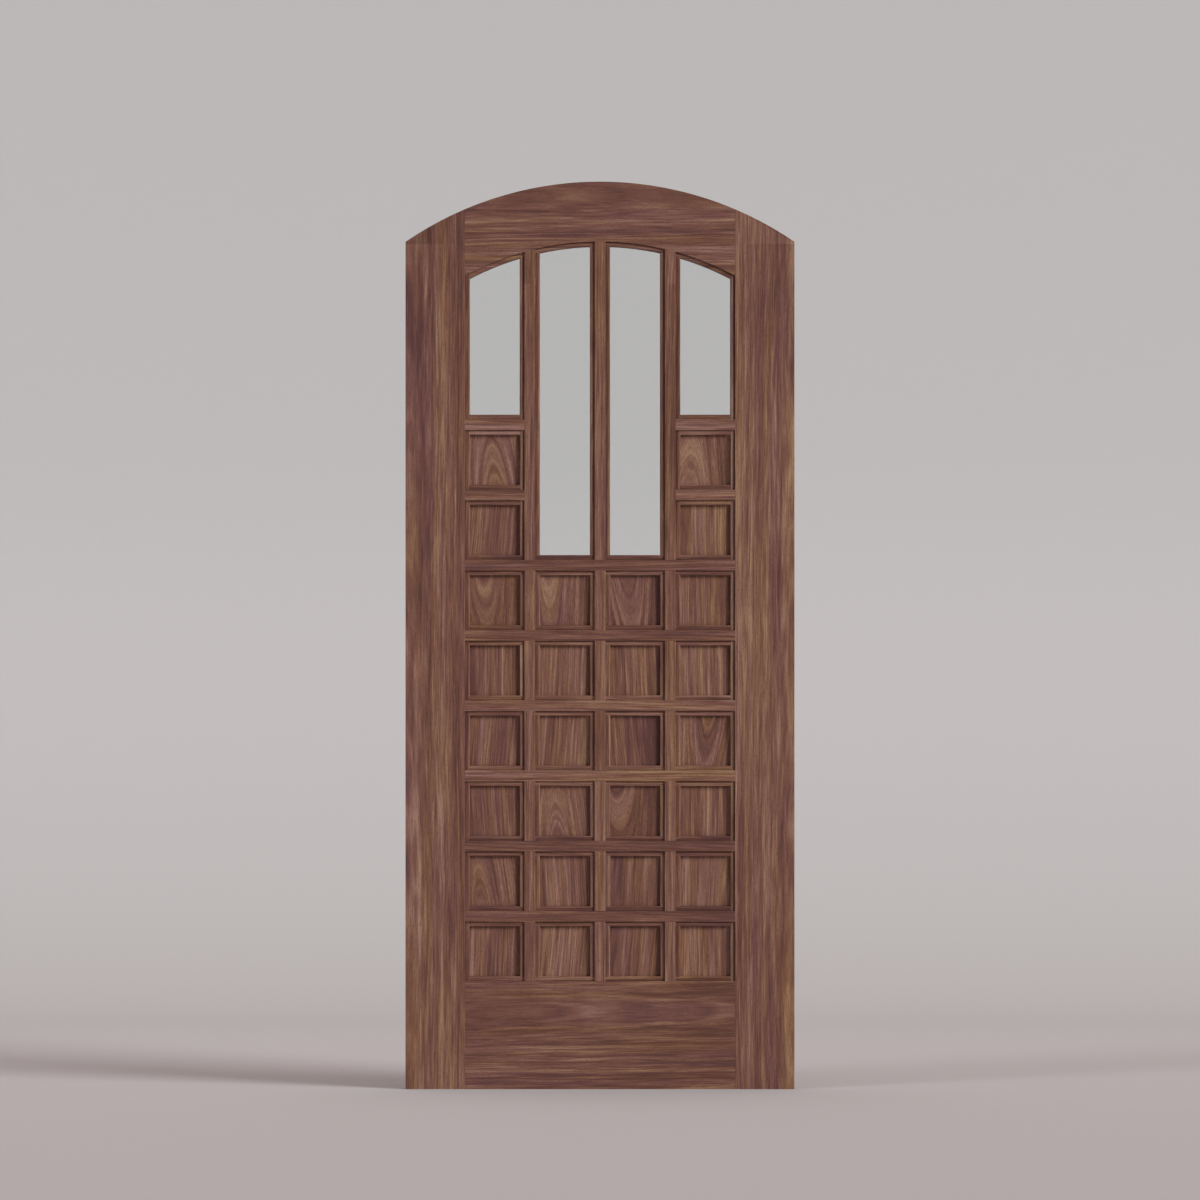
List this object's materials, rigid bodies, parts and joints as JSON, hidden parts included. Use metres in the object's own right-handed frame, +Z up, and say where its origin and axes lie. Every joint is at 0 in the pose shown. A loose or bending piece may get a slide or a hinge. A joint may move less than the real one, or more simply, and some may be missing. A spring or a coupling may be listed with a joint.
{
  "type": "arched wooden door",
  "caption": "Arched wooden entry door leaf with a grid of small flat panels below and tall glazed lites under a curved top rail.",
  "frame": {"origin": "centre of the bottom edge of the leaf, half-way through its thickness", "axes": "+Z up along the height, X across the width, -Y out of the front face"},
  "size_m": [0.9144, 0.0444, 2.1336],
  "materials": {
    "walnut_frame": "matte oiled",
    "walnut_panel": "matte oiled",
    "walnut_bead": "matte oiled",
    "glass": "clear polished",
    "glazing_tape": "matte",
    "setting_block": "matte",
    "beech_dowel": "raw"
  },
  "bodies": {
    "root": {"bottom_rail": "walnut_frame", "cross_rail_1": "walnut_frame", "cross_rail_2": "walnut_frame", "cross_rail_3": "walnut_frame", "cross_rail_4": "walnut_frame", "cross_rail_5": "walnut_frame", "cross_rail_6": "walnut_frame", "dowels": "beech_dowel", "glass_col1": "glass", "glass_col2": "glass", "glass_col3": "glass", "glass_col4": "glass", "glazing_beads_col1": "walnut_bead", "glazing_beads_col2": "walnut_bead", "glazing_beads_col3": "walnut_bead", "glazing_beads_col4": "walnut_bead", "glazing_tape": "glazing_tape", "left_stile": "walnut_frame", "long_muntin_centre": "walnut_frame", "long_muntin_left": "walnut_frame", "long_muntin_right": "walnut_frame", "panel_row1_col1": "walnut_panel", "panel_row1_col2": "walnut_panel", "panel_row1_col3": "walnut_panel", "panel_row1_col4": "walnut_panel", "panel_row2_col1": "walnut_panel", "panel_row2_col2": "walnut_panel", "panel_row2_col3": "walnut_panel", "panel_row2_col4": "walnut_panel", "panel_row3_col1": "walnut_panel", "panel_row3_col2": "walnut_panel", "panel_row3_col3": "walnut_panel", "panel_row3_col4": "walnut_panel", "panel_row4_col1": "walnut_panel", "panel_row4_col2": "walnut_panel", "panel_row4_col3": "walnut_panel", "panel_row4_col4": "walnut_panel", "panel_row5_col1": "walnut_panel", "panel_row5_col2": "walnut_panel", "panel_row5_col3": "walnut_panel", "panel_row5_col4": "walnut_panel", "panel_row6_col1": "walnut_panel", "panel_row6_col2": "walnut_panel", "panel_row6_col3": "walnut_panel", "panel_row6_col4": "walnut_panel", "panel_row7_col1": "walnut_panel", "panel_row7_col4": "walnut_panel", "panel_row8_col1": "walnut_panel", "panel_row8_col4": "walnut_panel", "right_stile": "walnut_frame", "setting_blocks": "setting_block", "short_muntins_centre": "walnut_frame", "short_muntins_left": "walnut_frame", "short_muntins_right": "walnut_frame", "side_rail_1_left": "walnut_frame", "side_rail_1_right": "walnut_frame", "side_rail_2_left": "walnut_frame", "side_rail_2_right": "walnut_frame", "top_rail": "walnut_frame"}
  },
  "joints": []
}
